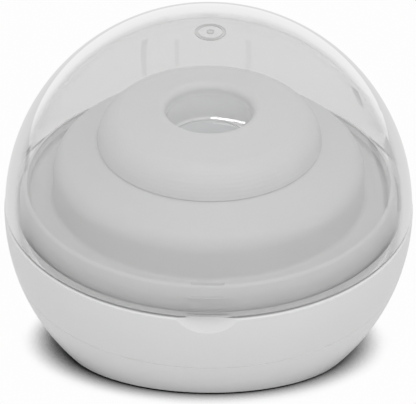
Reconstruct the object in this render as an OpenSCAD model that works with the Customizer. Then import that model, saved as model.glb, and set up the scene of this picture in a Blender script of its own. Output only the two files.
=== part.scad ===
// Pacifier sterilizer case: a ball on a flat foot, about as big as an orange.
// A clear dome is hinged at the back of a white base. Under it, a round seat holds a pacifier
// with its teat down in a well, and an ultraviolet lamp shines up through the well's lens.
// The seam between base and dome leans towards the user, and everything under the dome leans
// with it. Sizes called heights are measured along that leaning axis, from the ball's centre,
// unless they say that they are above the table.

/* [Ball] */
// Radius of the ball that the base makes
ball_r = 42.5; // [41:0.5:45]
// How much of the ball's bottom is cut away for the foot
foot_cut = 11.7; // [10.5:0.1:12.5]
// Lean of the seam towards the front, in degrees
tilt = 15; // [10:1:17]
// Height of the middle of the seam
seam_w = 0.8; // [0:0.1:2]
// Width of the seam's groove
seam_gap = 0.35; // [0.3:0.05:0.6]
// How much smaller the dome's radius is than the ball's
dome_step = 0.15; // [0.1:0.05:0.4]

/* [Base shell] */
// Wall of the base shell and of the bottom cover
base_wall = 2.2; // [1.8:0.1:2.6]
// Height of the line where the bottom cover meets the base shell
part_w = -12.45; // [-14:0.05:-11]
// Height of the deck's top, on which the tray stands
deck_w = -4; // [-5:0.25:-3]
// Thickness of the deck
deck_t = 2; // [1.6:0.1:2.4]
// Radius of the hole in the deck that the lamp's leads pass through
deck_hole_r = 18; // [14:1:20]
// Bevel on the edges at the seam
rim_bevel = 0.3; // [0.2:0.05:0.5]

/* [Finger scoop] */
// Width of the scoop at the base's rim
scoop_width = 13; // [11:0.2:13.4]
// Depth of the scoop below the rim
scoop_drop = 3.4; // [2.4:0.2:4.4]
// Depth of the scoop into the wall, at the rim
scoop_depth = 1.2; // [0.8:0.1:1.4]

/* [Bottom cover and foot] */
// How far the foot pad stands out of the cover
foot_lift = 0.5; // [0.3:0.1:0.8]
// Thickness of the foot pad
pad_t = 1.3; // [1:0.1:1.6]
// Flat rim of the cover round the foot pad's recess
foot_margin = 3.7; // [3:0.1:4.5]
// Gap round the foot pad
pad_gap = 0.1; // [0.05:0.05:0.3]
// Thickness of the cover's floor
floor_t = 2.4; // [2:0.1:3]
// Height of the tongue that locates the cover in the base shell
tongue_rise = 1.6; // [1:0.1:2.4]
// Thickness of the tongue
tongue_t = 1.45; // [1.2:0.05:1.8]
// Gap between the tongue and the base shell
tongue_gap = 0.15; // [0.1:0.05:0.3]
// Depth of the groove along the line between cover and base shell
line_groove = 0.3; // [0.2:0.05:0.45]

/* [Tray] */
// Wall of the tray
tray_wall = 1.8; // [1.4:0.1:2]
// Gap between the base shell's inside and the tray's skirt
skirt_gap = 0.7; // [0.5:0.05:0.9]
// How much the collar draws in between the deck and its top
collar_draft = 0.54; // [0.3:0.02:0.8]
// Height of the collar's top
collar_w = 6; // [5:0.25:7]
// Height of the trough's floor
trough_w = 3.2; // [2.8:0.1:4]
// Radius of the mound in the middle of the tray
mound_r = 32.2; // [31:0.2:32.6]
// Height at which the mound's shoulder starts
mound_w = 9; // [8:0.25:9.5]
// Radius of the mound's shoulder
mound_round = 4.5; // [3.5:0.25:5]
// Slope of the mound's top, in degrees
mound_slope = 22; // [18:1:24]
// Fillets in the trough
trough_round = 0.8; // [0.5:0.1:1.2]
// Width of the grip tab on the collar's front
tab_width = 6.6; // [5:0.2:9]
// How far the grip tab stands above the collar
tab_rise = 0.6; // [0.4:0.1:1]
// Width of the catch lug on the collar's front
catch_width = 7.2; // [5:0.2:9]
// Height of the catch lug above the base's rim
catch_rise = 3.2; // [2:0.2:3.6]
// How far the catch lug stands out of the collar
catch_out = 0.6; // [0.3:0.05:0.65]

/* [Seat] */
// Radius of the seat's crown
crown_r = 23.1; // [21:0.1:24]
// Height of the crown's top at the well
crown_w = 24.1; // [23.6:0.1:25]
// Height of the crown's edge
crown_edge_w = 16.3; // [15.8:0.1:16.8]
// Radius of the crown's shoulder
crown_round = 6.5; // [5.5:0.25:6.75]
// Wall of the seat
seat_wall = 1.6; // [1.2:0.1:1.8]
// Gap between the seat's skirt and the tray
seat_gap = 0.15; // [0.1:0.05:0.3]
// How far the crown's lip hangs over the skirt
lip_out = 0.5; // [0.4:0.05:0.8]
// Height of the skirt below the crown's edge
skirt_drop = 1.7; // [1.5:0.1:2]
// Shadow gap under the crown's lip
lip_gap = 0.2; // [0.15:0.05:0.3]
// Width of the ledge that carries the seat
ledge_width = 1.95; // [1.6:0.05:2.4]
// Radius of the well
well_r = 9; // [8:0.25:9.5]
// Rounding of the well's mouth
well_round = 1.4; // [1:0.1:1.8]
// Fillet between the well's wall and its floor
well_fillet = 0.4; // [0.2:0.1:0.4]
// Depth of the well
well_depth = 8.2; // [7.5:0.1:8.6]

/* [Lamp] */
// Width of the lip that the well's floor leaves round the lens
well_lip = 0.7; // [0.5:0.1:1]
// Thickness of that lip
well_floor_t = 1.2; // [1:0.1:1.4]
// How far the lens's flange reaches under the lip
lens_flange = 1.1; // [0.9:0.1:1.3]
// Thickness of the lens's flange
lens_t = 1.4; // [1:0.1:1.8]
// Gap between the lens and the lip
lens_lip_gap = 0.2; // [0.1:0.05:0.3]
// Depth of the dish in the lens's top, which spreads the lamp's light
dish_depth = 2.2; // [1.4:0.1:2.3]
// Width of the flat rim round that dish
dish_rim = 0.5; // [0.4:0.1:0.8]
// Thickness of the lens's seal
seal_t = 0.6; // [0.4:0.1:0.8]
// Gap round the lens in its holder
lens_gap = 0.3; // [0.2:0.05:0.4]
// Width of the ledge that carries the lens in its holder
holder_ledge = 1.6; // [1.4:0.1:1.8]
// Wall of the lamp's holder round the lens
holder_wall = 1.2; // [1:0.1:1.4]
// Height of the room between lens and lamp board
lamp_room = 2.1; // [2:0.1:3]
// Radius of the lamp's board
lamp_board_r = 8.6; // [8:0.1:9]
// Thickness of the lamp's board
lamp_board_t = 1.2; // [1:0.1:1.6]
// Gap round the lamp's board
lamp_board_gap = 0.2; // [0.1:0.05:0.3]
// Side of the lamp's square package
lamp_side = 3.5; // [3:0.1:5]
// Thickness of the lamp's package
lamp_t = 1.1; // [0.8:0.1:1.2]
// Radius of the lamp's own small dome
lamp_dome_r = 1.3; // [1:0.1:1.4]
// Height of that small dome
lamp_dome_rise = 0.6; // [0.4:0.05:0.7]
// Radius of the circle of the holder's ears
ear_ring_r = 13.4; // [13:0.1:14]
// Radius of each ear
ear_r = 2.4; // [2.2:0.1:2.6]
// Thickness of each ear
ear_t = 2.2; // [1.8:0.1:2.6]

/* [Dome] */
// Wall of the dome
dome_wall = 2.2; // [1.8:0.1:2.4]
// Radius of the moulding ring at the dome's top
gate_r = 3.15; // [2.5:0.05:4]
// Width of that ring's groove
gate_width = 0.65; // [0.4:0.05:0.8]
// Depth of that ring's groove
gate_depth = 0.3; // [0.2:0.05:0.4]
// Radius of the dot in the ring's middle
gate_dot_r = 0.75; // [0.5:0.05:1]
// Gap between the catch lug and its pocket in the dome
catch_gap = 0.4; // [0.3:0.05:0.5]
// Depth of that pocket
catch_pocket = 0.45; // [0.3:0.05:0.6]

/* [Hinge] */
// Radius of the hinge pin
pin_r = 0.8; // [0.7:0.05:1]
// Gap round the pin in the lid's barrel
pin_run_gap = 0.05; // [0.03:0.01:0.08]
// Gap round the pin in the base's barrels
pin_hold_gap = 0.02; // [0.01:0.01:0.03]
// Wall of the barrels
barrel_wall = 1.05; // [0.9:0.05:1.3]
// Gap between the barrels and the ball
barrel_gap = 0.5; // [0.4:0.05:0.8]
// Length of the lid's barrel
lid_barrel = 9.8; // [8:0.2:12]
// Length of each of the base's barrels
base_barrel = 4.6; // [3.6:0.2:5]
// Gap between one barrel and the next
barrel_space = 0.3; // [0.2:0.05:0.4]
// Length of the web below the base's barrels
base_web = 8; // [6:0.5:9]
// Length of the web above the lid's barrel
lid_web = 7; // [6:0.5:8]
// Radius of the magnet in the lid's web
magnet_r = 1.2; // [1:0.1:1.3]
// Height of the magnet
magnet_h = 2.4; // [2:0.1:2.6]
// Gap round the magnet
magnet_gap = 0.05; // [0.03:0.01:0.1]

/* [Power] */
// Gap between the battery cell and the cover's screw posts beside it
cell_side_gap = 3.2; // [2:0.1:4]
// Gap between the battery cell and the main board's posts before and behind it
cell_end_gap = 1.5; // [1:0.1:2.5]
// Thickness of the battery cell
cell_t = 6; // [5:0.1:6.6]
// Rounding of the battery cell's long edges
cell_round = 1.5; // [1:0.1:2]
// Thickness of the foam under the cell
foam_t = 1; // [0.8:0.1:1.4]
// Room between the cell and the main board
board_room = 3.6; // [3:0.1:4]
// Gap round the main board, to the screw bosses and to the wall
board_gap = 1.1; // [0.6:0.1:2]
// Thickness of the main board
board_t = 1.6; // [1:0.1:1.8]
// Rounding of the main board's corners
board_round = 2; // [1:0.1:3]
// Distance of the main board's screws from its edges, to the screw head
board_margin = 1.8; // [1.4:0.1:2.4]
// Length of the charging socket
usb_length = 7.35; // [6.8:0.05:7.6]
// Width of the charging socket
usb_width = 8.94; // [8.8:0.02:9.1]
// Height of the charging socket
usb_height = 3.26; // [3.2:0.02:3.4]
// Sheet that the socket's shell is made of
usb_sheet = 0.3; // [0.25:0.01:0.35]
// How deep the socket's mouth lies in the cover
usb_recess = 1.15; // [0.8:0.05:1.4]
// Gap round the socket in the cover
usb_gap = 0.25; // [0.15:0.05:0.4]
// Thickness of the tongue in the socket
usb_tongue_t = 0.7; // [0.6:0.05:0.8]

/* [Screws] */
// Radius of the cover screws' shanks
cover_screw_r = 1.15; // [1:0.05:1.3]
// Radius of their heads
cover_head_r = 2.3; // [2:0.05:2.4]
// Height of their heads
cover_head_t = 1.8; // [1.4:0.1:2]
// Height of the cover's screw posts above its floor
cover_post_h = 9.1; // [8.5:0.1:9.5]
// How deep the screws reach into the base's bosses
cover_grip = 4; // [3:0.1:4.4]
// Distance of the screws from the foot pad's edge
cover_screw_inset = 4.1; // [4:0.1:4.5]
// Radius of the small screws' shanks
small_screw_r = 0.85; // [0.7:0.05:0.9]
// Radius of the small screws' heads
small_head_r = 1.7; // [1.5:0.05:1.8]
// Height of the small screws' heads
small_head_t = 1.1; // [0.9:0.1:1.3]
// Length of the small screws' shanks
small_screw_l = 6; // [5:0.1:6.2]
// Gap round a screw in the hole that holds it
thread_gap = 0.03; // [0.02:0.01:0.05]
// Gap round a screw in a hole that it passes through
pass_gap = 0.25; // [0.15:0.05:0.3]
// Wall round a small screw in its boss
boss_wall = 1.3; // [1:0.05:1.4]
// Wall round a cover screw in its boss
cover_boss_wall = 1.8; // [1.4:0.05:2]

/* [Hidden] */
$fn = 96;

// A length past any edge, for cuts that pass right through
far = 2 * ball_r;
// A little more than nothing, so that a cut clears the face that it opens
nib = 0.01;
// How far a cut or a root goes past a curved face, to be sure of it
bite = 1;
// Segments in each rounded corner of a profile
arc_steps = 10;

// Colours
white = [0.93, 0.93, 0.93];
seat_white = [0.96, 0.96, 0.96];
clear = [0.86, 0.9, 0.94, 0.35];
quartz = [0.8, 0.87, 0.96, 0.5];
steel = [0.72, 0.73, 0.75];
pale_metal = [0.9, 0.9, 0.88];
lamp_yellow = [0.95, 0.9, 0.6];
silicone = [0.75, 0.75, 0.76];
board_green = [0.1, 0.38, 0.25];
dark = [0.12, 0.12, 0.13];
foil = [0.62, 0.66, 0.72];

// Ball and seam; ball_z is the height of the ball's centre above the table
ball_z = ball_r - foot_cut;
inner_r = ball_r - base_wall;
base_rim_w = seam_w - seam_gap / 2;
dome_rim_w = seam_w + seam_gap / 2;
dome_r = ball_r - dome_step;
dome_in_r = dome_r - dome_wall;

// Radius of the circle that a plane at height w cuts from a ball of radius r
function cut_r(r, w) = sqrt(r * r - w * w);

// Foot, above the table
foot_r = cut_r(ball_r, ball_z - foot_lift);
pad_r = foot_r - foot_margin;
floor_z = foot_lift + floor_t;
// Grip rings under the pad: their places as shares of its radius, their width and their depth
grip_rings = [0.6, 0.8];
grip_width = 1;
grip_depth = pad_t / 3;

// Base shell
deck_under_w = deck_w - deck_t;
wall_middle_r = ball_r - base_wall / 2;
tongue_r = cut_r(inner_r, part_w) - tongue_gap;
tongue_root_w = part_w - 2 * tongue_rise;
line_r = cut_r(ball_r, part_w);

// Finger scoop: a large ball cuts a round dish, and the rim cuts the dish short
scoop_above = (scoop_width * scoop_width / 4 - scoop_drop * scoop_drop) / (2 * scoop_drop);
scoop_dish_r = scoop_above + scoop_drop;
scoop_bend = 2 * scoop_depth / (scoop_dish_r * scoop_dish_r - scoop_above * scoop_above);
scoop_r = 1 / (scoop_bend - 1 / ball_r);
scoop_middle = scoop_bend * scoop_dish_r * scoop_dish_r / 2;
scoop_angle = asin((base_rim_w + scoop_above) / ball_r);

// Tray
skirt_r = inner_r - skirt_gap;
collar_r = skirt_r - collar_draft;
skirt_in_r = skirt_r - tray_wall;
collar_in_r = collar_r - tray_wall;
tray_under_w = trough_w - tray_wall;
collar_round = tray_wall / 3;
mound_inner_round = mound_round - tray_wall;
mound_bend_r = mound_r - mound_round;

// Seat
seat_skirt_r = crown_r - lip_out;
ledge_w = crown_edge_w - skirt_drop;
ledge_r = seat_skirt_r + seat_gap;
ledge_in_r = ledge_r - ledge_width;
mound_top_w = crown_edge_w - lip_gap;
// Where the mound's underside meets the ledge's underside
ledge_under_w = ledge_w - tray_wall;
mound_slope_w = mound_w + mound_inner_round * cos(mound_slope);
ledge_under_r = mound_bend_r + mound_inner_round * sin(mound_slope)
    - (ledge_under_w - mound_slope_w) / tan(mound_slope);
crown_bend_r = crown_r - crown_round;
// Angles at which the crown's shoulder starts on its outside, and ends on its inside at the skirt
crown_start = 80;
crown_inner_round = crown_round - seat_wall;
seat_skirt_in_r = seat_skirt_r - seat_wall;
crown_inner_end = acos((seat_skirt_in_r - crown_bend_r) / crown_inner_round);
lip_w = mound_top_w + lip_gap / 2 + nib;
well_floor_w = crown_w - well_depth;
well_under_w = well_floor_w - well_floor_t;
well_tube_r = well_r + seat_wall;

// Lamp, from the well's floor down
lens_hole_r = well_r - well_lip;
lens_top_r = lens_hole_r - lens_lip_gap;
lens_r = lens_hole_r + lens_flange;
seal_r = lens_r + lens_gap / 2;
holder_r = lens_r + lens_gap + holder_wall;
lens_w = well_under_w - seal_t;
lens_under_w = lens_w - lens_t;
dish_r = lens_top_r - dish_rim;
dish_ball_r = (dish_r * dish_r + dish_depth * dish_depth) / (2 * dish_depth);
lamp_board_w = lens_under_w - lamp_room;
lamp_dome_ball_r = (lamp_dome_r * lamp_dome_r + lamp_dome_rise * lamp_dome_rise) / (2 * lamp_dome_rise);

// Hinge
barrel_r = pin_r + pin_run_gap + barrel_wall;
hinge_v = ball_r + barrel_gap + barrel_r;
hinge_w = seam_w;
barrel_at = lid_barrel / 2 + barrel_space + base_barrel / 2;
hinge_half = barrel_at + base_barrel / 2;
// Where the webs leave their barrels, as angles below and above the hinge's level
base_web_angle = 20;
lid_web_angle = 50;
// Root of the lid's web in the dome's wall, and how far its upper end stands out of the dome
web_root_r = dome_in_r + dome_wall / 2;
web_out = 0.3;
magnet_v = dome_r;
magnet_w = dome_rim_w + rim_bevel;

// Catch
catch_w = base_rim_w + nib;
catch_r = collar_r + catch_out;

// Power, above the table
cell_z = floor_z + foam_t;
board_z = cell_z + cell_t + board_room;
board_top_z = board_z + board_t;
usb_z = board_top_z + usb_height / 2;
usb_mouth_y = cut_r(ball_r, usb_z - ball_z) - usb_recess;
usb_back_y = usb_mouth_y - usb_length;
usb_tongue_l = usb_length - bite;
usb_tongue_w = usb_width * 3 / 4;
chip_side = 6;
chip_t = 0.9;
plug_size = [6, 4.2, 3.2];

// Screws
screw_angles = [30, 150, 270];
small_boss_r = small_screw_r + boss_wall;
cover_post_r = cover_head_r + pass_gap + boss_wall;
cover_boss_r = cover_screw_r + cover_boss_wall;
cover_ring_r = pad_r - cover_screw_inset;
cover_side_x = cover_ring_r * cos(screw_angles[0]);
cover_joint_z = floor_z + cover_post_h;
cover_head_z = floor_z + cover_post_h / 3;
cover_hole_top_z = cover_joint_z + cover_grip + bite;
tray_screw_ring_r = (mound_r - tray_wall + skirt_in_r) / 2;
tray_screw_tip_w = deck_under_w + small_screw_l;
holder_screw_w = well_under_w - ear_t;
holder_screw_tip_w = holder_screw_w + small_screw_l;
// Cross recess in a screw's head, as shares of the head's radius
cross_length = 1.1;
cross_width = 0.25;

// Main board and battery cell, between the screw bosses and the socket
board_width = 2 * (cover_side_x - cover_boss_r - board_gap);
board_front = cover_ring_r - cover_boss_r - board_gap;
board_back = usb_back_y + usb_length / 4;
board_edge_r = cut_r(inner_r, ball_z - board_z) - board_gap;
board_post_x = board_width / 2 - small_head_r - board_margin;
board_post_front_y = small_head_r + board_margin - board_front;
board_post_back_y = board_back - small_head_r - 2 * board_margin;
cell_width = 2 * (cover_side_x - cover_post_r - cell_side_gap);
cell_length = board_post_back_y - board_post_front_y - 2 * (small_boss_r + cell_end_gap);
cell_y = (board_post_back_y + board_post_front_y) / 2;

// Sensor, upright on the deck between the tray's skirt and its trough
sensor_side_gap = 1;
sensor_top_gap = 0.4;
sensor_board = [8, 0.8, tray_under_w - deck_w - sensor_top_gap];
sensor_size = [3, 1, 1.6];
sensor_v = skirt_in_r - sensor_size[1] - sensor_side_gap;
sensor_w = deck_w + sensor_board[2] - sensor_size[2] - sensor_top_gap;

// Points of an arc round [x, y], from one angle to another
function arc(x, y, r, from, to) = [
    for (i = [0:arc_steps]) let (a = from + (to - from) * i / arc_steps) [x + r * cos(a), y + r * sin(a)]
];

// The leaning frame of everything that follows the seam
module leaning() translate([0, 0, ball_z]) rotate([tilt, 0, 0]) children();

// A disc between two heights
module disc(r, low, high) translate([0, 0, low]) cylinder(r = r, h = high - low);

// A ring between two heights
module ring(r_in, r_out, low, high) difference() {
    disc(r_out, low, high);
    disc(r_in, low - nib, high + nib);
}

// A profile in the back-and-up plane, drawn out across the case
module across(length) rotate([90, 0, 90]) linear_extrude(height = length, center = true) children();

// A rod across the case, on the hinge's axis
module hinge_rod(r, length) translate([0, hinge_v, hinge_w]) rotate([0, 90, 0])
    cylinder(r = r, h = length, center = true);

// Copies of a piece on a circle, at the screws' angles
module at_screws(r) for (a = screw_angles) rotate([0, 0, a]) translate([r, 0, 0]) children();

// A screw that points up from its head, with a cross recess and with the head's seat at height 0
module screw(r, head_r, head_t, length) difference() {
    union() {
        disc(r, 0, length);
        disc(head_r, -head_t, 0);
    }
    for (turn = [0, 90]) rotate([0, 0, turn]) translate([0, 0, -head_t])
        cube([head_r * cross_length, head_r * cross_width, head_t], center = true);
}

// A rounded rectangle about the middle
module rounded(x, y, r) {
    square([x - 2 * r, y], center = true);
    square([x, y - 2 * r], center = true);
    for (i = [-1, 1], j = [-1, 1]) translate([i * (x / 2 - r), j * (y / 2 - r)]) circle(r = r);
}

// White band of the base, with the deck, the screw bosses and the hinge's outer barrels
module base_shell() color(white) difference() {
    union() {
        leaning() {
            shell_band();
            ring(deck_hole_r, wall_middle_r - base_wall / 4, deck_under_w, deck_w);
            for (side = [-1, 1]) translate([side * barrel_at, 0, 0]) base_hinge_arm();
        }
        cover_bosses();
    }
    leaning() {
        hinge_rod(pin_r + pin_hold_gap, far);
        finger_scoop();
        at_screws(tray_screw_ring_r) disc(small_screw_r + pass_gap, deck_under_w - nib, deck_w + nib);
    }
    at_screws(cover_ring_r) disc(cover_screw_r + thread_gap, cover_joint_z - nib, cover_hole_top_z);
}

module shell_band() difference() {
    intersection() {
        sphere(r = ball_r);
        disc(far, part_w, base_rim_w);
    }
    sphere(r = inner_r);
    rotate_extrude() polygon([
        [cut_r(ball_r, base_rim_w) - rim_bevel, base_rim_w + nib],
        [far, base_rim_w + nib],
        [far, base_rim_w - rim_bevel],
        [cut_r(ball_r, base_rim_w), base_rim_w - rim_bevel]
    ]);
}

module base_hinge_arm() difference() {
    across(base_barrel) {
        translate([hinge_v, hinge_w]) circle(r = barrel_r);
        polygon([
            [wall_middle_r - bite, base_rim_w - rim_bevel],
            [hinge_v, base_rim_w - rim_bevel],
            [hinge_v + barrel_r * cos(base_web_angle), hinge_w - barrel_r * sin(base_web_angle)],
            [cut_r(wall_middle_r, base_web), -base_web],
            [cut_r(wall_middle_r, base_web) - bite, -base_web]
        ]);
    }
    sphere(r = inner_r);
}

module finger_scoop() intersection() {
    rotate([-scoop_angle, 0, 0]) translate([0, scoop_middle - ball_r - scoop_r, 0]) sphere(r = scoop_r);
    disc(far, part_w / 2, base_rim_w + nib);
}

module cover_bosses() intersection() {
    at_screws(cover_ring_r) disc(cover_boss_r, cover_joint_z, ball_z + ball_r);
    leaning() disc(far, -far, deck_w - deck_t / 2);
}

// Bottom of the ball, cut flat for the foot
module bottom_cover() color(white) difference() {
    union() {
        difference() {
            intersection() {
                translate([0, 0, ball_z]) sphere(r = ball_r);
                leaning() disc(far, -far, part_w);
                disc(far, foot_lift, far);
            }
            intersection() {
                translate([0, 0, ball_z]) sphere(r = inner_r);
                disc(far, floor_z, far);
            }
        }
        leaning() cover_tongue();
        intersection() {
            union() {
                at_screws(cover_ring_r) disc(cover_post_r, foot_lift, cover_joint_z);
                at_board_posts() disc(small_boss_r, foot_lift, board_z);
            }
            translate([0, 0, ball_z]) sphere(r = wall_middle_r);
            disc(far, foot_lift, far);
        }
    }
    disc(pad_r + pad_gap, 0, pad_t);
    at_screws(cover_ring_r) {
        disc(cover_head_r + pass_gap, 0, cover_head_z);
        disc(cover_screw_r + pass_gap, 0, cover_joint_z + nib);
    }
    at_board_posts() disc(small_screw_r + thread_gap, board_z - small_screw_l, board_z + nib);
    leaning() line_groove();
    usb_opening();
}

module cover_tongue() rotate_extrude() polygon([
    [tongue_r - tongue_t, tongue_root_w],
    [cut_r(wall_middle_r, part_w) - base_wall / 2, tongue_root_w],
    [cut_r(wall_middle_r, part_w) - base_wall / 2, part_w],
    [tongue_r, part_w],
    [tongue_r, part_w + tongue_rise],
    [tongue_r - tongue_t, part_w + tongue_rise]
]);

module line_groove() rotate_extrude() polygon([
    [line_r - line_groove, part_w + nib],
    [far, part_w + nib],
    [far, part_w - line_groove],
    [line_r, part_w - line_groove]
]);

module usb_opening() translate([0, inner_r, usb_z]) rotate([90, 0, 0])
    linear_extrude(height = inner_r, center = true)
        stadium(usb_width + 2 * usb_gap, usb_height + 2 * usb_gap);

module stadium(x, y) rounded(x, y, y / 2 - nib);

module at_board_posts() for (side = [-1, 1], y = [board_post_front_y, board_post_back_y])
    translate([side * board_post_x, y, 0]) children();

// Rubber pad that the case stands on, with two grip rings
module foot_pad() color(silicone) difference() {
    disc(pad_r, 0, pad_t);
    for (share = grip_rings) ring(pad_r * share, pad_r * share + grip_width, -nib, grip_depth);
}

// White tray: collar, trough and mound in one moulding, with the grip tab and the catch lug
module inner_tray() color(white) leaning() difference() {
    union() {
        rotate_extrude() polygon(tray_profile());
        front_arc(tab_width)
            ring(collar_in_r + collar_round, collar_r - collar_round / 2, trough_w, collar_w + tab_rise);
        front_arc(catch_width)
            ring(collar_in_r + collar_round, catch_r, catch_w, base_rim_w + catch_rise);
        at_screws(tray_screw_ring_r) disc(small_boss_r, deck_w, trough_w - tray_wall / 2);
    }
    at_screws(tray_screw_ring_r) disc(small_screw_r + thread_gap, deck_w - nib, tray_screw_tip_w);
}

// What lies within a width at the front
module front_arc(width) intersection() {
    children();
    translate([-width / 2, -far, -far / 2]) cube([width, far, far]);
}

function tray_profile() = concat(
    [[ledge_in_r, ledge_w], [ledge_r, ledge_w], [ledge_r, mound_top_w]],
    arc(mound_bend_r, mound_w, mound_round, 90 - mound_slope, 0),
    arc(mound_r + trough_round, trough_w + trough_round, trough_round, 180, 270),
    arc(collar_in_r - trough_round, trough_w + trough_round, trough_round, 270, 360),
    arc(collar_in_r + collar_round, collar_w - collar_round, collar_round, 180, 90),
    arc(collar_r - collar_round, collar_w - collar_round, collar_round, 90, 0),
    [[skirt_r, deck_w], [skirt_in_r, deck_w], [skirt_in_r, tray_under_w]],
    [[mound_r - tray_wall, tray_under_w]],
    arc(mound_bend_r, mound_w, mound_inner_round, 0, 90 - mound_slope),
    [[ledge_under_r, ledge_under_w], [ledge_in_r, ledge_under_w]]
);

module tray_screws() color(steel) leaning() at_screws(tray_screw_ring_r)
    translate([0, 0, deck_under_w]) screw(small_screw_r, small_head_r, small_head_t, small_screw_l - nib);

// Crown that carries the pacifier, with the well for its teat
module pacifier_seat() color(seat_white) leaning() difference() {
    union() {
        rotate_extrude() polygon(seat_profile());
        at_screws(ear_ring_r) disc(small_boss_r, well_under_w, crown_under_w(ear_ring_r) + seat_wall / 3);
    }
    at_screws(ear_ring_r) disc(small_screw_r + thread_gap, well_under_w - nib, holder_screw_tip_w);
}

function crown_start_r(r) = crown_bend_r + r * cos(crown_start);
function crown_start_w(r) = crown_edge_w + r * sin(crown_start);

// Height of the crown's underside at a distance from the middle
function crown_under_w(r) = let (
    near = [well_tube_r, crown_w - seat_wall],
    wide = [crown_start_r(crown_inner_round), crown_start_w(crown_inner_round)]
) near[1] + (wide[1] - near[1]) * (r - near[0]) / (wide[0] - near[0]);

function seat_profile() = concat(
    [[lens_hole_r, well_under_w], [lens_hole_r, well_floor_w]],
    arc(well_r - well_fillet, well_floor_w + well_fillet, well_fillet, 270, 360),
    arc(well_r + well_round, crown_w - well_round, well_round, 180, 90),
    arc(crown_bend_r, crown_edge_w, crown_round, crown_start, 0),
    [[crown_r, lip_w], [seat_skirt_r, lip_w], [seat_skirt_r, ledge_w], [seat_skirt_in_r, ledge_w]],
    arc(crown_bend_r, crown_edge_w, crown_inner_round, crown_inner_end, crown_start),
    [[well_tube_r, crown_w - seat_wall], [well_tube_r, well_under_w]]
);

// Soft ring between the well's floor and the lens
module lens_seal() color(silicone) leaning() ring(lens_hole_r, seal_r, lens_w, well_under_w);

// Quartz lens that fills the hole in the well's floor, with a flange below it and a dish in its top
module well_lens() color(quartz) leaning() difference() {
    union() {
        disc(lens_r, lens_under_w, lens_w);
        disc(lens_top_r, lens_under_w, well_floor_w);
    }
    translate([0, 0, well_floor_w - dish_depth + dish_ball_r]) sphere(r = dish_ball_r);
}

// Cup that holds the lens against its seal and the lamp's board below it
module lamp_holder() color(white) leaning() difference() {
    union() {
        disc(holder_r, lamp_board_w - lamp_board_t, well_under_w);
        translate([0, 0, holder_screw_w]) linear_extrude(height = ear_t) at_screws(0) {
            translate([ear_ring_r, 0]) circle(r = ear_r);
            translate([0, -ear_r]) square([ear_ring_r, 2 * ear_r]);
        }
    }
    disc(lens_r + lens_gap, lens_under_w, well_under_w + nib);
    disc(lens_r - holder_ledge, lamp_board_w - nib, lens_under_w + nib);
    disc(lamp_board_r + lamp_board_gap, lamp_board_w - lamp_board_t - nib, lamp_board_w);
    at_screws(ear_ring_r) disc(small_screw_r + pass_gap, holder_screw_w - nib, well_under_w + nib);
}

module holder_screws() color(steel) leaning() at_screws(ear_ring_r)
    translate([0, 0, holder_screw_w]) screw(small_screw_r, small_head_r, small_head_t, small_screw_l - nib);

// Round metal board that carries the lamp and draws off its heat
module lamp_board() color(pale_metal) leaning()
    disc(lamp_board_r, lamp_board_w - lamp_board_t, lamp_board_w);

module uv_lamp() color(lamp_yellow) leaning() translate([0, 0, lamp_board_w]) {
    translate([-lamp_side / 2, -lamp_side / 2, 0]) cube([lamp_side, lamp_side, lamp_t]);
    intersection() {
        translate([0, 0, lamp_t + lamp_dome_rise - lamp_dome_ball_r]) sphere(r = lamp_dome_ball_r);
        disc(lamp_dome_r, lamp_t / 2, lamp_t + lamp_dome_rise);
    }
}

// Small upright board behind the tray's skirt, which carries the lid's sensor
module sensor_board() color(board_green) leaning()
    translate([-sensor_board[0] / 2, sensor_v - sensor_board[1], deck_w]) cube(sensor_board);

module lid_sensor() color(dark) leaning()
    translate([-sensor_size[0] / 2, sensor_v, sensor_w]) cube(sensor_size);

// Main board, level with the table, with its back corners cut round to clear the wall
module main_board() color(board_green) difference() {
    translate([0, 0, board_z]) linear_extrude(height = board_t) intersection() {
        translate([0, (board_back - board_front) / 2])
            rounded(board_width, board_front + board_back, board_round);
        circle(r = board_edge_r);
    }
    at_board_posts() disc(small_screw_r + pass_gap, board_z - nib, board_top_z + nib);
}

module controller_chip() color(dark) translate([-chip_side / 2, chip_side / 2, board_top_z])
    cube([chip_side, chip_side, chip_t]);

// Two plugs for the lamp's and the battery's leads, open at the front
module board_plugs() color(seat_white) for (side = [-1, 1])
    translate([side * board_width / 4 - plug_size[0] / 2, -board_front / 2, board_top_z]) difference() {
        cube(plug_size);
        translate([plug_size[0] / 8, -nib, plug_size[2] / 4])
            cube([plug_size[0] * 3 / 4, plug_size[1] * 3 / 4, plug_size[2] / 2]);
    }

module board_screws() color(steel) at_board_posts() translate([0, 0, board_top_z]) mirror([0, 0, 1])
    screw(small_screw_r, small_head_r, small_head_t, small_screw_l);

// Metal shell of the charging socket
module usb_shell() color(steel) translate([0, usb_mouth_y, usb_z]) rotate([90, 0, 0]) difference() {
    linear_extrude(height = usb_length) stadium(usb_width, usb_height);
    translate([0, 0, -nib]) linear_extrude(height = usb_length - usb_sheet)
        stadium(usb_width - 2 * usb_sheet, usb_height - 2 * usb_sheet);
}

// Contact tongue in the socket
module usb_tongue() color(dark) translate([0, usb_back_y + usb_sheet + nib, usb_z])
    translate([-usb_tongue_w / 2, 0, -usb_tongue_t / 2]) cube([usb_tongue_w, usb_tongue_l, usb_tongue_t]);

// Flat battery cell on its foam
module battery_cell() color(foil) translate([0, cell_y, cell_z + cell_t / 2]) rotate([90, 0, 0])
    linear_extrude(height = cell_length, center = true) rounded(cell_width, cell_t, cell_round);

module battery_foam() color(dark) translate([0, cell_y, floor_z]) linear_extrude(height = foam_t)
    rounded(cell_width - 2 * cell_round, cell_length - 2 * cell_round, cell_round);

module cover_screws() color(steel) at_screws(cover_ring_r) translate([0, 0, cover_head_z])
    screw(cover_screw_r, cover_head_r, cover_head_t, cover_joint_z + cover_grip - cover_head_z);

module hinge_pin() color(steel) leaning() hinge_rod(pin_r, 2 * hinge_half);

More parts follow.
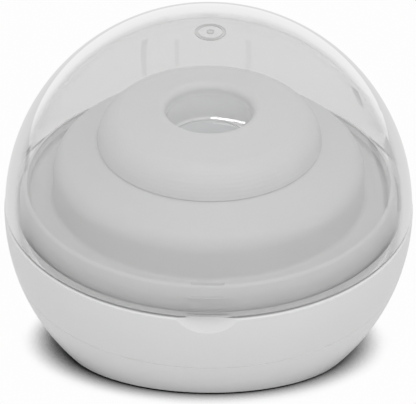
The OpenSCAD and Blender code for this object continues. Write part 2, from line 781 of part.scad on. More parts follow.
// Clear dome, with the hinge's middle barrel, the catch's pocket and the moulding ring at its top
module lid_dome() color(clear) leaning() difference() {
    union() {
        difference() {
            sphere(r = dome_r);
            disc(far, -far, dome_rim_w);
        }
        lid_hinge_block();
    }
    sphere(r = dome_in_r);
    dome_rim_bevel();
    hinge_rod(pin_r + pin_run_gap, far);
    translate([0, magnet_v, 0]) disc(magnet_r + magnet_gap, 0, magnet_w + magnet_h + magnet_gap);
    catch_recess();
    gate_mark();
}

module lid_hinge_block() across(lid_barrel) {
    translate([hinge_v, hinge_w]) circle(r = barrel_r);
    polygon([
        [web_root_r, dome_rim_w + rim_bevel],
        [hinge_v, dome_rim_w + rim_bevel],
        [hinge_v + barrel_r * cos(lid_web_angle), hinge_w + barrel_r * sin(lid_web_angle)],
        [cut_r(dome_r, lid_web) + web_out, lid_web],
        [cut_r(dome_r, lid_web) - 2 * web_out, lid_web + bite],
        [cut_r(web_root_r, lid_web), lid_web]
    ]);
}

module dome_rim_bevel() rotate_extrude() polygon([
    [cut_r(dome_r, dome_rim_w) - rim_bevel, dome_rim_w - nib],
    [ball_r + barrel_gap / 2, dome_rim_w - nib],
    [ball_r + barrel_gap / 2, dome_rim_w + rim_bevel],
    [cut_r(dome_r, dome_rim_w), dome_rim_w + rim_bevel]
]);

module catch_recess() front_arc(catch_width + 2 * catch_gap) ring(
    dome_in_r - bite, dome_in_r + catch_pocket,
    dome_rim_w + catch_gap, dome_rim_w + catch_rise + catch_gap
);

module gate_mark() intersection() {
    difference() {
        sphere(r = dome_r + bite);
        sphere(r = dome_r - gate_depth);
    }
    union() {
        ring(gate_r - gate_width, gate_r, 0, far);
        disc(gate_dot_r, 0, far);
    }
}

// Magnet that tells the sensor that the lid is shut
module lid_magnet() color(steel) leaning() translate([0, magnet_v, 0])
    disc(magnet_r, magnet_w, magnet_w + magnet_h);

base_shell();
bottom_cover();
foot_pad();
inner_tray();
tray_screws();
pacifier_seat();
lens_seal();
well_lens();
lamp_holder();
holder_screws();
lamp_board();
uv_lamp();
sensor_board();
lid_sensor();
main_board();
controller_chip();
board_plugs();
board_screws();
usb_shell();
usb_tongue();
battery_cell();
battery_foam();
cover_screws();
hinge_pin();
lid_dome();
lid_magnet();
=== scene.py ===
# %% [markdown]
# # A ball-shaped pacifier sterilizer case
# The case is a ball about as big as an orange. A clear dome sits on a white base along a seam that leans
# towards the user, and a round seat under the dome holds a pacifier over an ultraviolet lamp.
# The solids come from the CAD model. They could be modelled again here, but they already have the right
# size and the right gaps, so this script keeps them and gives them their finishes, their small details,
# the light and the camera. Everything is in metres.

# %% Load the frame and keep its pieces where they are
import math

import bmesh
import bpy
from mathutils import Matrix, Vector


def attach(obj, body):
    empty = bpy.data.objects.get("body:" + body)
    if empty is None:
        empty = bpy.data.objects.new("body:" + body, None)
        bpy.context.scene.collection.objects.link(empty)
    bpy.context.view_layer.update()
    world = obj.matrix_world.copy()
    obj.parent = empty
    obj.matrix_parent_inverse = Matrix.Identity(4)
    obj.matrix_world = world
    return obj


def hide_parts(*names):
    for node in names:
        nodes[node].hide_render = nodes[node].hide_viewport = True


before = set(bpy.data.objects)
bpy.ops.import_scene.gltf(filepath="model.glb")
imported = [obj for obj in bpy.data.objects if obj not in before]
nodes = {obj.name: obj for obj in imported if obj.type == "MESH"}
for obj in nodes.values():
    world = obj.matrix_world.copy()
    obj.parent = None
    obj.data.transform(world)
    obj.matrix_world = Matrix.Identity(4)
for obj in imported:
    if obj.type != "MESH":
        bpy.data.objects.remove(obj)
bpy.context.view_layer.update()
MM = 0.001
print("pieces from the CAD model:", len(nodes))

# %% [markdown]
# Every curved piece leans 15 degrees towards the front about the ball's centre. A matrix could turn points
# into that frame, but all that is needed later is how far a point lies along the leaning axis and how far
# from it. The centre and the axis alone give both.

# %% The leaning frame
BALL_CENTRE = Vector((0, 0, 30.8 * MM))
BALL_RADIUS = 42.5 * MM
TILT = math.radians(15)
LEANING_AXIS = Vector((0, -math.sin(TILT), math.cos(TILT)))
print("top of the ball", round((BALL_CENTRE.z + BALL_RADIUS) / MM, 1), "mm above the table")

# %% [markdown]
# ## Writing a finish as arithmetic
# A material in Blender is a graph of nodes. Drawn by hand it is easy to read, but in code each Math node
# would take four lines. A small class wraps a socket, so that `0.3 + 0.1 * specks` adds the two Math nodes
# by itself. Any other node comes from one method, which sets the node's settings first and its sockets after.

# %% A number on its way through a material
class Reading:
    """A number that changes over a surface. Arithmetic on it adds Math nodes."""

    def __init__(self, finish, socket):
        self.finish = finish
        self.socket = socket

    def maths(self, operation, *values):
        return self.finish.node("ShaderNodeMath", {"operation": operation}, dict(enumerate(values)))

    def __add__(self, other):
        return self.maths("ADD", self, other)

    def __sub__(self, other):
        return self.maths("SUBTRACT", self, other)

    def __mul__(self, other):
        return self.maths("MULTIPLY", self, other)

    def __pow__(self, other):
        return self.maths("POWER", self, other)

    def __radd__(self, other):
        return self.maths("ADD", other, self)

    def __rsub__(self, other):
        return self.maths("SUBTRACT", other, self)

    def __rmul__(self, other):
        return self.maths("MULTIPLY", other, self)


print("a Reading turns arithmetic into Math nodes")


# %% A finish that is being made
class Finish:
    """A material, or the world, with its nodes cleared, ready for new ones."""

    def __init__(self, name, world=False):
        self.made = bpy.data.worlds.new(name) if world else bpy.data.materials.new(name)
        self.made.use_nodes = True
        self.tree = self.made.node_tree
        self.tree.nodes.clear()
        self.output = self.tree.nodes.new("ShaderNodeOutputWorld" if world else "ShaderNodeOutputMaterial")

    def node(self, kind, settings=None, inputs=None, output=0):
        made = self.tree.nodes.new(kind)
        for name, value in (settings or {}).items():
            setattr(made, name, value)
        for name, value in (inputs or {}).items():
            if isinstance(value, Reading):
                self.tree.links.new(value.socket, made.inputs[name])
            else:
                made.inputs[name].default_value = value
        return Reading(self, made.outputs[output])

    def surface(self, shader):
        self.tree.links.new(shader.socket, self.output.inputs["Surface"])
        return self.made


print("finishes are written as arithmetic from here on")

# %% [markdown]
# Moulded plastic is never one flat value. Its sheen changes a little from place to place, and its skin has
# a faint waviness about as wide as a hair, which breaks up reflections. Both could be painted on an image,
# but noise in the piece's own coordinates has no seams and moves with the piece, so all finishes use it.

# %% Helpers that all the finishes share
def grey(value, tint=(1, 1, 1)):
    return (value * tint[0], value * tint[1], value * tint[2], 1)


def place(finish):
    """Where a point lies on the piece itself, in metres."""
    return finish.node("ShaderNodeTexCoord", output="Object")


def specks(finish, size, detail=2.0):
    """Soft noise between 0 and 1 whose grains are about `size` metres wide."""
    sockets = {"Vector": place(finish), "Scale": 1 / size, "Detail": detail}
    return finish.node("ShaderNodeTexNoise", {"noise_dimensions": "3D"}, sockets, "Fac")


def ramp(finish, amount, low, high):
    """0 below `low`, 1 above `high`, and a smooth rise between them."""
    sockets = {"Value": amount, "From Min": low, "From Max": high}
    return finish.node("ShaderNodeMapRange", {"interpolation_type": "SMOOTHSTEP"}, sockets)


def bump(finish, height, depth):
    """A surface normal from a height between 0 and 1, raised by `depth` metres."""
    sockets = {"Height": height, "Distance": depth, "Strength": 1.0}
    return finish.node("ShaderNodeBump", {}, sockets)


print("noise, mixing and bump are ready")

# %% [markdown]
# Blender's Mix node has several sockets called A and B, one pair for each kind of value, so its sockets
# are picked by their place and not by their name.

# %% Pick the colour sockets of a Mix node
COLOUR_A = 6
COLOUR_B = 7
COLOUR_RESULT = 2


def between(finish, amount, low, high):
    """A colour between two others."""
    sockets = {0: amount, COLOUR_A: low, COLOUR_B: high}
    return finish.node("ShaderNodeMix", {"data_type": "RGBA"}, sockets, COLOUR_RESULT)


CLOUD_SIZE, CLOUD_DETAIL = 9 * MM, 3.0
SHEEN_SIZE, SHEEN_CHANGE = 3 * MM, 0.08
SKIN_SIZE, SKIN_DEPTH = 0.4 * MM, 0.0015 * MM


def clouded(finish, colour, darker):
    """A colour with soft clouds in it that are darker by a share of it."""
    low = tuple(c * (1 - darker) for c in colour[:3]) + (1,)
    return between(finish, specks(finish, CLOUD_SIZE, CLOUD_DETAIL), low, colour)


def moulded(name, colour, darker, rough, skin=SKIN_SIZE, depth=SKIN_DEPTH):
    """Moulded plastic or rubber: a colour, how much darker its dull places are, and its skin's waviness."""
    finish = Finish(name)
    sockets = {
        "Base Color": clouded(finish, colour, darker),
        "Roughness": rough - SHEEN_CHANGE / 2 + SHEEN_CHANGE * specks(finish, SHEEN_SIZE),
        "Normal": bump(finish, specks(finish, skin), depth),
    }
    return finish.surface(finish.node("ShaderNodeBsdfPrincipled", {}, sockets))


white_shell = moulded("glossy white shell", grey(0.82), 0.02, 0.3)
white_tray = moulded("satin white tray", grey(0.85), 0.02, 0.42)
white_holder = moulded("plain white holder", grey(0.78), 0.03, 0.5)
print("made", white_shell.name, "and two more whites")

# %% [markdown]
# The seat's well is polished smoother than the rest, so that it throws the lamp's light back on the teat,
# and its colour is painted lighter there, as painted light for the light that bounces about in the deep well.
# Both end at the well's mouth. A mask on the distance from the leaning axis says where that is.

# %% The seat's finish
WELL_RADIUS = 9.5 * MM
CROWN_TOP = 24.1 * MM
POLISH_WIDTH = (0.1 * MM, 0.4 * MM)
POLISH_DEPTH = (3.5 * MM, 1 * MM)
SEAT_DARKER = 0.015
LINING_CHANGE = 0.04


def along(finish, vector, axis):
    """How far a vector reaches along an axis."""
    return finish.node("ShaderNodeVectorMath", {"operation": "DOT_PRODUCT"}, {0: vector, 1: axis}, "Value")


def from_ball_centre(finish):
    sockets = {0: place(finish), 1: BALL_CENTRE}
    return finish.node("ShaderNodeVectorMath", {"operation": "DISTANCE"}, sockets, "Value")


def leaning_height(finish):
    """Height over the ball's middle, along the leaning axis."""
    return along(finish, place(finish), LEANING_AXIS) - BALL_CENTRE.dot(LEANING_AXIS)


def from_leaning_axis(finish):
    return (from_ball_centre(finish) ** 2 - leaning_height(finish) ** 2) ** 0.5


def lined(name, colour, painted_well_light, rough, polish):
    """The seat's plastic, smoother in the well, where its lighter colour is painted light."""
    finish = Finish(name)
    wide = ramp(finish, from_leaning_axis(finish), *(WELL_RADIUS + step for step in POLISH_WIDTH))
    high = ramp(finish, leaning_height(finish), *(CROWN_TOP - step for step in POLISH_DEPTH))
    outside = wide.maths("MAXIMUM", wide, high)
    sheen = LINING_CHANGE * specks(finish, SHEEN_SIZE)
    sockets = {
        # The colour inside the well is lighter: painted light for the light that bounces about in it.
        "Base Color": between(finish, outside, painted_well_light, clouded(finish, colour, SEAT_DARKER)),
        "Roughness": polish + (rough - polish) * outside + sheen,
        "Normal": bump(finish, specks(finish, SKIN_SIZE), SKIN_DEPTH),
    }
    return finish.surface(finish.node("ShaderNodeBsdfPrincipled", {}, sockets))


# grey(0.97) is painted light inside the well; the seat's own colour is grey(0.89).
white_seat = lined("smooth white seat", grey(0.89), grey(0.97), 0.34, 0.22)
print("made", white_seat.name)

# %% [markdown]
# ## The clear dome
# Real clear plastic bends light. A glass shader would do so as well, but it lets no lamp through to the
# pieces under it without much noise. A thin wall hardly moves what is behind it, so each of its faces
# is a mix: straight through with a little loss, and a mirror that grows towards the edge, as Fresnel says.

# %% Clear finishes
HEAD_ON_MIRROR, MIRROR_GROWTH = 0.06, 5
MIRROR_ROUGH = 0.03


def growing_mirror(finish):
    """How edge-on a face is seen, and the share of light that it throws back when it is polished."""
    edge_on = finish.node("ShaderNodeLayerWeight", {}, {"Blend": 0.5}, "Facing")
    return edge_on, HEAD_ON_MIRROR + (1 - HEAD_ON_MIRROR) * edge_on ** MIRROR_GROWTH


def looked_at(finish):
    """1 for the rays that make the picture, and 0 for those that only carry light about."""
    kinds = ["Is Camera Ray", "Is Glossy Ray", "Is Transmission Ray"]
    rays = [finish.node("ShaderNodeLightPath", output=kind) for kind in kinds]
    return rays[0].maths("MINIMUM", rays[0] + rays[1] + rays[2], 1.0)


def mirror_of(finish, tint):
    sockets = {"Base Color": tint, "Metallic": 1.0, "Roughness": MIRROR_ROUGH}
    return finish.node("ShaderNodeBsdfPrincipled", {}, sockets)


def mixed(finish, amount, first, second):
    return finish.node("ShaderNodeMixShader", {}, {0: amount, 1: first, 2: second})


def above(amount, limit):
    """1 where an amount is more than a limit, and 0 elsewhere."""
    return amount.maths("GREATER_THAN", amount, limit)


def within(amount, low, high):
    return above(amount, low) * (1 - above(amount, high))


print("helpers for see-through finishes are ready")

# %% [markdown]
# Two things in a thick clear wall can't be seen through. Towards the ball's edge, light turns back at the
# inner face, so the wall shows the white room as a pale band. And the level faces inside the wall, at the
# rim and in the catch's pocket, lie so flat to the eye that they are perfect mirrors from within.

# %% The dome's own finish
DOME_INSIDE, DOME_OUTSIDE, DOME_RIM = 40.15 * MM, 42.35 * MM, 0.975 * MM
LEVEL_FROM = 0.6
INNER_SKIN, OUTER_SKIN, RIM_DEPTH = 0.1 * MM, 0.4 * MM, 0.31 * MM
BEYOND_BALL = 0.1 * MM
OUTER_FACE = DOME_OUTSIDE - 1 * MM
EDGE_BAND = (0.52, 0.73)
INNER_MIRROR = 0.15
# The gate ring's grey is painted shade for the light that its groove's walls turn away.
GATE_RADIUS, GATE_PAINTED_SHADE, GATE_ROUGH, GATE_SHARE = 3.2 * MM, 0.6, 0.5, 0.7
GATE_LAYER = (DOME_OUTSIDE - 0.35 * MM, DOME_OUTSIDE - 0.1 * MM)


def inner_mirrors(finish, from_centre, height):
    """1 on the level faces inside the wall and on the rim, which are perfect mirrors from within."""
    upright = along(finish, finish.node("ShaderNodeTexCoord", output="Normal"), LEANING_AXIS)
    level = above(upright.maths("ABSOLUTE", upright), LEVEL_FROM)
    in_wall = level * within(from_centre, DOME_INSIDE + INNER_SKIN, DOME_OUTSIDE - OUTER_SKIN)
    at_rim = above(from_centre, DOME_INSIDE + INNER_SKIN) * (1 - above(height, DOME_RIM + RIM_DEPTH))
    on_ball = 1 - above(from_centre, DOME_OUTSIDE + BEYOND_BALL)
    return in_wall.maths("MAXIMUM", in_wall, at_rim * on_ball)


def gate_ring(from_centre, height):
    """1 in the sunk ring at the dome's top, where the plastic was let into the mould."""
    near_pole = 1 - above(from_centre ** 2 - height ** 2, GATE_RADIUS ** 2)
    return near_pole * above(height, 0) * within(from_centre, *GATE_LAYER)


def clear_plastic(name, tint, glint, edge_glint):
    finish = Finish(name)
    seen = looked_at(finish)
    edge_on, mirror = growing_mirror(finish)
    from_centre = from_ball_centre(finish)
    height = leaning_height(finish)
    outer_face = above(from_centre, OUTER_FACE)
    mirror = mirror * (INNER_MIRROR + (1 - INNER_MIRROR) * outer_face)
    band = seen * outer_face * ramp(finish, edge_on, *EDGE_BAND)
    # The sunk gate ring is covered with an opaque grey: painted shade for its groove's walls.
    ring = GATE_SHARE * gate_ring(from_centre, height)
    ring_sockets = {"Base Color": grey(GATE_PAINTED_SHADE), "Roughness": GATE_ROUGH}
    ring_painted_shade = finish.node("ShaderNodeBsdfPrincipled", {}, ring_sockets)

    through = finish.node("ShaderNodeBsdfTransparent", {}, {"Color": tint})
    wall = mixed(finish, seen * mirror, through, mirror_of(finish, glint))
    wall = mixed(finish, band, wall, mirror_of(finish, edge_glint))
    wall = mixed(finish, ring, wall, ring_painted_shade)
    hidden = inner_mirrors(finish, from_centre, height)
    return finish.surface(mixed(finish, hidden, wall, mirror_of(finish, glint)))


clear_dome = clear_plastic("clear dome plastic", grey(0.91), grey(0.95), grey(0.83))
print("made", clear_dome.name)

# %% [markdown]
# The lens in the well shows as a pale patch with no lamp in it, so it is treated as quartz with a finely
# ground face. Ground glass could be made with a rough glass shader, but that is noisy in so deep a well.
# A mix of a see-through share and a soft white share looks the same and stays clean.

# %% The lens's finish
LENS_CHANGE, LENS_GRAIN = 0.04, 2 * MM
LENS_COAT_ROUGH, LENS_TINT = 0.03, 0.95


def milky_glass(name, colour, cloudy, rough):
    """Quartz with a fine-ground face: a part of the light passes and the rest is spread."""
    finish = Finish(name)
    seen = looked_at(finish)
    sockets = {
        "Base Color": colour,
        "Roughness": rough + LENS_CHANGE * specks(finish, LENS_GRAIN),
        "Coat Weight": 1.0,
        "Coat Roughness": LENS_COAT_ROUGH,
    }
    spread = finish.node("ShaderNodeBsdfPrincipled", {}, sockets)
    through = finish.node("ShaderNodeBsdfTransparent", {}, {"Color": grey(LENS_TINT)})
    share = cloudy + (1 - cloudy) * seen * growing_mirror(finish)[1]
    return finish.surface(mixed(finish, share, through, spread))


milky_quartz = milky_glass("milky quartz", grey(0.97, (0.98, 0.99, 1)), 0.8, 0.2)
print("made", milky_quartz.name)

# %% [markdown]
# The small pieces inside are rubber, foam, metal, lacquered board and ceramic. Each could get a shader of
# its own, but they differ only in colour, gloss and grain, so one function makes the metals and the one
# for moulded plastic makes all the others.

# %% Finishes of the small pieces
METAL_CHANGE, METAL_PATCH = 0.1, 0.5 * MM
METAL_GRAIN, METAL_DEPTH = 0.15 * MM, 0.001 * MM


def metal(name, colour, rough):
    finish = Finish(name)
    sockets = {
        "Base Color": colour,
        "Metallic": 1.0,
        "Roughness": rough - METAL_CHANGE / 2 + METAL_CHANGE * specks(finish, METAL_PATCH),
        "Normal": bump(finish, specks(finish, METAL_GRAIN), METAL_DEPTH),
    }
    return finish.surface(finish.node("ShaderNodeBsdfPrincipled", {}, sockets))


steel = metal("plated screw steel", grey(0.62), 0.3)
socket_steel = metal("bright socket steel", grey(0.7), 0.22)
nickel = metal("nickel plating", grey(0.72, (1, 0.98, 0.94)), 0.15)
aluminium = metal("lamp board aluminium", grey(0.8), 0.4)
gold_contact = metal("gold-plated contacts", (0.8, 0.58, 0.24, 1), 0.25)
rubber = moulded("grey foot rubber", grey(0.5), 0.08, 0.75, 0.3 * MM, 0.01 * MM)
silicone = moulded("soft silicone", grey(0.72), 0.05, 0.55)
foam = moulded("black foam", grey(0.03), 0.3, 0.9, 0.5 * MM, 0.08 * MM)
green_board = moulded("green lacquered board", (0.02, 0.16, 0.07, 1), 0.25, 0.3)
black_chip = moulded("black moulding compound", grey(0.02), 0.2, 0.6)
off_white = moulded("off-white plug", grey(0.75, (1, 0.98, 0.92)), 0.03, 0.5)
ceramic = moulded("lamp ceramic", (0.75, 0.68, 0.42, 1), 0.05, 0.35)
foil = moulded("silver cell pouch", grey(0.55, (0.95, 0.98, 1.0)), 0.1, 0.3, 1.2 * MM, 0.02 * MM)
print("made the finishes of the small pieces")

# %% [markdown]
# ## The tray's collar
# The CAD collar is a plain wall with a flat top. The real one looks softer: its outside bulges and grows
# darker downwards, and its inside slopes down from the edge. The whole tray could be rebuilt from its
# profile, but its bosses, tab and lug would have to be rebuilt too. So a copy of the CAD tray is cut into
# more rings, and the rings are moved. The real edge also lies a little lower than the CAD's. Lowering it
# here would lay the trough's floor bare, so its height stays as it is.

# %% Measure along the leaning axis
COLLAR_EDGE, COLLAR_TOP = 38.46 * MM, 6.0 * MM
COLLAR_SLOPE, SLOPE_WIDTH = 1.1, 2.5 * MM
BULGE_START, BULGE, BULGE_POWER = 2.9 * MM, 0.75 * MM, 2
RING_HEIGHTS = [3.2, 3.6, 4.0, 4.4, 4.8, 5.1, 5.5, 5.8]
SAME_POINT, CUT_WIDTH, SLACK = 0.001 * MM, 0.0001 * MM, 0.01 * MM


def leaning_parts(point):
    """A point's distance from the leaning axis, its height along it, and the way out from the axis."""
    offset = point - BALL_CENTRE
    height = offset.dot(LEANING_AXIS)
    outwards = offset - height * LEANING_AXIS
    return outwards.length, height, outwards.normalized()


print("the collar is cut at", len(RING_HEIGHTS), "heights")

# %% [markdown]
# Bisecting the mesh with planes across the leaning axis adds the rings. Each ring's points then go to
# their new place: down to the slope inside the edge, and inwards along the bulge outside it.

# %% Cut and move the rings
def cut_rings(work):
    bmesh.ops.remove_doubles(work, verts=work.verts, dist=SAME_POINT)
    for height in RING_HEIGHTS:
        parts = work.verts[:] + work.edges[:] + work.faces[:]
        at = BALL_CENTRE + LEANING_AXIS * height * MM
        bmesh.ops.bisect_plane(work, geom=parts, plane_co=at, plane_no=LEANING_AXIS, dist=CUT_WIDTH)


def shape_collar(mesh):
    """Give the collar its slope and bulge, and say how many points that moved."""
    work = bmesh.new()
    work.from_mesh(mesh)
    cut_rings(work)
    moved = 0
    for vert in work.verts:
        radius, height, outwards = leaning_parts(vert.co)
        if COLLAR_EDGE - SLOPE_WIDTH < radius < COLLAR_EDGE and height > BULGE_START:
            slope = COLLAR_TOP - COLLAR_SLOPE * (COLLAR_EDGE - radius)
            if slope < height <= COLLAR_TOP + SLACK:
                vert.co -= LEANING_AXIS * (height - slope)
                moved += 1
        if radius > COLLAR_EDGE - SLACK and height > BULGE_START:
            rise = min(1.0, (height - BULGE_START) / (COLLAR_TOP - BULGE_START))
            vert.co -= outwards * BULGE * rise ** BULGE_POWER
            moved += 1
    work.to_mesh(mesh)
    work.free()
    return moved


print("the collar's edge is at", round(COLLAR_TOP / MM, 1), "mm over the ball's middle")

# %% [markdown]
# The copy takes the CAD tray's place in the picture, while the CAD tray stays behind it for collisions.
# Its normals are worked out again, with creases only where faces meet at a clear angle.

# %% Make the moulded tray
CREASE_FROM = math.radians(28)


def soften(mesh):
    if "custom_normal" in mesh.attributes:
        mesh.attributes.remove(mesh.attributes["custom_normal"])
    mesh.shade_smooth()
    mesh.set_sharp_from_angle(angle=CREASE_FROM)


def add_piece(name, mesh, finish):
    """Put a mesh in the scene as a piece of the case, with one finish."""
    mesh.materials.clear()
    mesh.materials.append(finish)
    piece = bpy.data.objects.new(name, mesh)
    bpy.context.scene.collection.objects.link(piece)
    return piece


tray_mesh = nodes["inner_tray"].data.copy()
tray_mesh.transform(nodes["inner_tray"].matrix_world)
tray_mesh.name = "moulded tray"
moved = shape_collar(tray_mesh)
soften(tray_mesh)
moulded_tray = add_piece("moulded_tray", tray_mesh, white_tray)
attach(moulded_tray, "base")
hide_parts("inner_tray")
print("collar vertices moved:", moved, "of", len(tray_mesh.vertices))

# %% [markdown]
# ## The socket's contacts
# The tongue of a charging socket carries twelve gold-plated contacts on each face. They are thin strips in
# the moulding, half a millimetre apart, and show in the socket's mouth. A striped finish could stand for
# them, but gold that is a shape of its own catches the light at its edges. Twenty-four small bars in one
# mesh are enough, set on the faces that the CAD tongue has at its tip.

# %% One contact
CONTACT_PITCH, CONTACT_WIDTH, CONTACT_PROUD = 0.5 * MM, 0.26 * MM, 0.02 * MM
CONTACT_START, CONTACT_LENGTH = 0.5 * MM, 3.2 * MM
CONTACTS_PER_FACE = 12
CONTACT_BEVEL = 0.006 * MM
TIP_LENGTH = 1 * MM


def add_bar(work, low, high):
    """Add one closed bar between two corners, with its edges slightly bevelled."""
    corners = bmesh.ops.create_cube(work, size=1)["verts"]
    for vert in corners:
        vert.co = Vector(h if c > 0 else l for c, l, h in zip(vert.co, low, high))
    edges = list({edge for vert in corners for edge in vert.link_edges})
    bmesh.ops.bevel(work, geom=edges, offset=CONTACT_BEVEL, segments=1, affect="EDGES")


print("bars are", round(CONTACT_LENGTH / MM, 1), "mm long")

# %% Lay the contacts in a row on each face
tongue = nodes["usb_tongue"].data
tongue_end = max(vert.co.y for vert in tongue.vertices)
tip = [vert.co for vert in tongue.vertices if vert.co.y > tongue_end - TIP_LENGTH]
tip_low, tip_high = min(co.z for co in tip), max(co.z for co in tip)
tip_middle = (min(co.x for co in tip) + max(co.x for co in tip)) / 2
near_end = tongue_end - CONTACT_START
far_end = near_end - CONTACT_LENGTH
bars = bmesh.new()
for index in range(CONTACTS_PER_FACE):
    x = tip_middle + (index - (CONTACTS_PER_FACE - 1) / 2) * CONTACT_PITCH
    left, right = x - CONTACT_WIDTH / 2, x + CONTACT_WIDTH / 2
    for face in (tip_high, tip_low):
        add_bar(bars, (left, far_end, face - CONTACT_PROUD), (right, near_end, face + CONTACT_PROUD))
contact_mesh = bpy.data.meshes.new("socket contacts")
bars.to_mesh(contact_mesh)
bars.free()
socket_contacts = add_piece("socket_contacts", contact_mesh, gold_contact)
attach(socket_contacts, "base")
print("contacts:", 2 * CONTACTS_PER_FACE, "on a tongue", round((tip_high - tip_low) / MM, 2), "mm thick")

# %% [markdown]
# ## Dressing the CAD pieces
# The other pieces keep their CAD meshes. Replacing them would only risk their gaps, so each one gets its
# finish in the material slots that it already has. One table says which, so that a change is made once.

# %% Give each CAD piece its finish
FINISHES = {
    white_shell: ["base_shell", "bottom_cover"],
    white_tray: ["inner_tray"],
    white_seat: ["pacifier_seat"],
    white_holder: ["lamp_holder"],
    clear_dome: ["lid_dome"],
    milky_quartz: ["well_lens"],
    steel: ["tray_screws", "holder_screws", "board_screws", "cover_screws", "hinge_pin"],
    socket_steel: ["usb_shell"],
    nickel: ["lid_magnet"],
    aluminium: ["lamp_board"],
    rubber: ["foot_pad"],
    silicone: ["lens_seal"],
    foam: ["battery_foam"],
    green_board: ["main_board", "sensor_board"],
    black_chip: ["controller_chip", "lid_sensor", "usb_tongue"],
    off_white: ["board_plugs"],
    ceramic: ["uv_lamp"],
    foil: ["battery_cell"],
}
for finish, names in FINISHES.items():
    for name in names:
        for slot in nodes[name].material_slots:
            slot.material = finish
print("pieces with a finish:", sum(len(names) for names in FINISHES.values()))

# %% [markdown]
# ## Floor, light and camera
# The case stands on a white table that runs out of the picture on every side. More light would whiten it,
# but would bleach the case too. So the table has two finishes: rays that carry light about meet a plain
# lit white, and the camera and the mirrors see its own pale colour. The shadow there isn't cast by a lamp.
# It comes from how closed in each point of the table is, leaning a little towards the front, and it
# reaches as far as SHADOW_REACH.

# %% The floor
TABLE_WIDTH = 6.0
TABLE_WHITE = 0.76
TABLE_SEEN = 0.985
TABLE_MIRRORED = 0.78
SHADOW_REACH = 11 * MM
SHADOW_EDGES = (0.27, 0.7)
LIGHT_FROM = (0.08, -0.45, 1)
SHADOW_SAMPLES = 16


def stage_sheet(name, width, depth):
    """A flat sheet of the studio, such as the table or a card. It isn't part of the case."""
    x, y = width / 2, depth / 2
    mesh = bpy.data.meshes.new(name)
    mesh.from_pydata([(-x, -y, 0), (x, -y, 0), (x, y, 0), (-x, y, 0)], [], [(0, 1, 2, 3)])
    sheet = bpy.data.objects.new(name, mesh)
    bpy.context.scene.collection.objects.link(sheet)
    return sheet


print("sheets of the studio can be made")


# %% The table
def table_finish():
    finish = Finish("white table")
    lit = finish.node("ShaderNodeBsdfDiffuse", {}, {"Color": grey(TABLE_WHITE)})
    towards_light = finish.node("ShaderNodeCombineXYZ", {}, dict(enumerate(LIGHT_FROM)))
    sockets = {"Distance": SHADOW_REACH, "Normal": towards_light}
    openness = finish.node("ShaderNodeAmbientOcclusion", {"samples": SHADOW_SAMPLES}, sockets, "AO")
    to_camera = finish.node("ShaderNodeLightPath", output="Is Camera Ray")
    whiteness = between(finish, to_camera, grey(TABLE_MIRRORED), grey(TABLE_SEEN))
    shaded = between(finish, ramp(finish, openness, *SHADOW_EDGES), grey(0), whiteness)
    glow = finish.node("ShaderNodeEmission", {}, {"Color": shaded, "Strength": 1.0})
    return finish.surface(mixed(finish, looked_at(finish), lit, glow))


table = stage_sheet("table_top", TABLE_WIDTH, TABLE_WIDTH)
table.data.materials.append(table_finish())
print("floor made, with the whiteness", TABLE_SEEN, "where it is seen")

# %% [markdown]
# The world gives the even light of a white studio. What the camera and the reflections see of it is white.

# %% The world
WORLD_LIGHT = 0.68
WORLD_SEEN = 0.985
studio = Finish("white studio", world=True)
even_light = studio.node("ShaderNodeBackground", {}, {"Color": grey(1), "Strength": WORLD_LIGHT})
white_room = studio.node("ShaderNodeBackground", {}, {"Color": grey(WORLD_SEEN), "Strength": 1.0})
bpy.context.scene.world = studio.surface(mixed(studio, looked_at(studio), even_light, white_room))
print("world light", WORLD_LIGHT)

# %% [markdown]
# Three soft boxes give the forms their shading: one overhead, one far in front and a weak one at the right.
# Sharp lamps would leave spots on the plastic, so these are large, and mirrors don't see them.

# %% Soft boxes
def soft_box(name, at, size, watts, aim=BALL_CENTRE):
    data = bpy.data.lights.new(name, "AREA")
    data.shape = "RECTANGLE"
    data.size, data.size_y = size
    data.energy = watts
    lamp = bpy.data.objects.new(name, data)
    bpy.context.scene.collection.objects.link(lamp)
    lamp.location = Vector(at)
    lamp.rotation_mode = "QUATERNION"
    lamp.rotation_quaternion = (Vector(aim) - lamp.location).to_track_quat("-Z", "Y")
    lamp.visible_camera = False
    return lamp


SOFT_BOXES = {
    "overhead_box": [(0.0, -0.5, 1.0), (0.7, 0.7), 2.2],
    "front_box": [(0.0, -1.6, 0.5), (1.8, 0.9), 3.4],
    "right_box": [(1.1, -0.5, 0.7), (0.8, 0.8), 0.9],
}
for name, (at, size, watts) in SOFT_BOXES.items():
    soft_box(name, at, size, watts).visible_glossy = False
print("soft boxes made:", len(SOFT_BOXES))

# %% [markdown]
# One narrow lamp over the front right shows in the dome as a bright streak across the well. Lamps and cards
# that only show as a mirror image are placed by the two ends of that image: each end lies where a ray from
# the camera goes after the dome has turned it.

# %% The strip lamp
STRIP_ENDS = [(0.0128, -0.389, 0.952), (0.303, -0.385, 0.903)]
STRIP_WIDTH = 0.02
STRIP_WATTS = 0.22


def lay_between(thing, ends):
    """Put a lamp or a sheet between two points, its long side along them and its face to the ball."""
    first, last = Vector(ends[0]), Vector(ends[1])
    middle = (first + last) / 2
    lengthwise = (last - first).normalized()
    outwards = middle - BALL_CENTRE
    outwards = (outwards - outwards.dot(lengthwise) * lengthwise).normalized()
    thing.location = middle
    thing.rotation_mode = "QUATERNION"
    turn = Matrix((lengthwise, outwards.cross(lengthwise), outwards)).transposed()
    thing.rotation_quaternion = turn.to_quaternion()


def length_between(ends):
    return (Vector(ends[1]) - Vector(ends[0])).length


strip = soft_box("strip_lamp", (0, 0, 1), (length_between(STRIP_ENDS), STRIP_WIDTH), STRIP_WATTS)
lay_between(strip, STRIP_ENDS)
print("strip lamp", round(length_between(STRIP_ENDS), 2), "m long")

# %% [markdown]
# Small cards stand round the case where only mirrors see them. They leave the thin dark marks in the clear
# wall that a studio's stands and window bars leave there, and they show that the wall is polished.

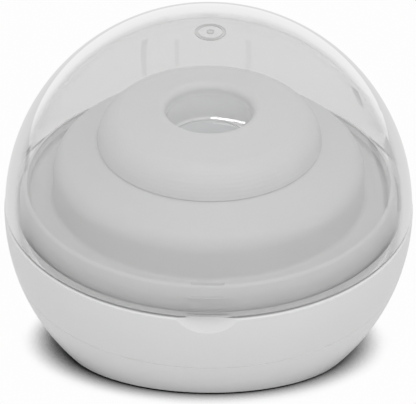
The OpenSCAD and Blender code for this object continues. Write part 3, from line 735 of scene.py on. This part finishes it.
# %% Dark cards
CARDS = {
    "right_stand": [(0.1322, 0.0439, 0.0763), (0.1411, 0.0335, 0.0189), 0.012, 0.02],
    "right_flag": [(0.1186, 0.0741, 0.0538), (0.1221, 0.0652, 0.0058), 0.02, 0.7],
    "right_clip": [(0.0997, 0.0825, 0.0898), (0.1134, 0.0682, 0.0877), 0.009, 0.5],
    "left_stand": [(-0.1198, 0.0735, 0.0458), (-0.1288, 0.0611, 0.0345), 0.009, 0.5],
    "left_bar": [(-0.1752, 0.3449, 0.3815), (-0.2381, 0.105, 0.4934), 0.018, 0.15],
    "middle_bar": [(-0.1001, 0.2894, 0.4573), (-0.122, 0.1099, 0.5358), 0.014, 0.35],
    "right_bar": [(0.1114, 0.3003, 0.4462), (0.1438, 0.0822, 0.536), 0.018, 0.45],
}
for name, (first, last, width, tone) in CARDS.items():
    finish = Finish(name.replace("_", " "))
    glow = finish.node("ShaderNodeEmission", {}, {"Color": grey(tone), "Strength": 1.0})
    card = stage_sheet(name, length_between((first, last)), width)
    card.data.materials.append(finish.surface(glow))
    lay_between(card, (first, last))
    card.visible_camera = card.visible_diffuse = False
    card.visible_shadow = card.visible_transmission = False
print("cards made:", len(CARDS))

# %% [markdown]
# The camera looks from 18 and a half degrees above the table, very slightly turned, as the photograph
# does. A photograph doesn't say how far away it was taken. A long lens at 0.85 metres is used here, and
# with it the ball fills the frame as it does there.

# %% The camera
PICTURE_WIDTH = 416
SENSOR_WIDTH = 36
NEAREST, FARTHEST = 0.05, 20
DISTANCE = 0.85
ELEVATION = math.radians(18.47)
ROLL = math.radians(0.58)
FOCAL_PIXELS = 4081
SHIFT_PIXELS = (0.6, 3.3)

camera_data = bpy.data.cameras.new("camera")
camera = bpy.data.objects.new("camera", camera_data)
bpy.context.scene.collection.objects.link(camera)
camera_data.sensor_width = SENSOR_WIDTH
camera_data.lens = FOCAL_PIXELS / PICTURE_WIDTH * SENSOR_WIDTH
camera_data.shift_x = -SHIFT_PIXELS[0] / PICTURE_WIDTH
camera_data.shift_y = SHIFT_PIXELS[1] / PICTURE_WIDTH
towards_camera = Vector((0, -math.cos(ELEVATION), math.sin(ELEVATION)))
facing_ball = (-towards_camera).to_track_quat("-Z", "Y")
camera.location = BALL_CENTRE + towards_camera * DISTANCE
camera.rotation_mode = "QUATERNION"
camera.rotation_quaternion = facing_ball @ Matrix.Rotation(ROLL, 3, "Z").to_quaternion()
camera_data.clip_start, camera_data.clip_end = NEAREST, FARTHEST
bpy.context.scene.camera = camera
bpy.context.scene.view_settings.view_transform = "Standard"
print("camera with a", round(camera_data.lens), "mm lens")
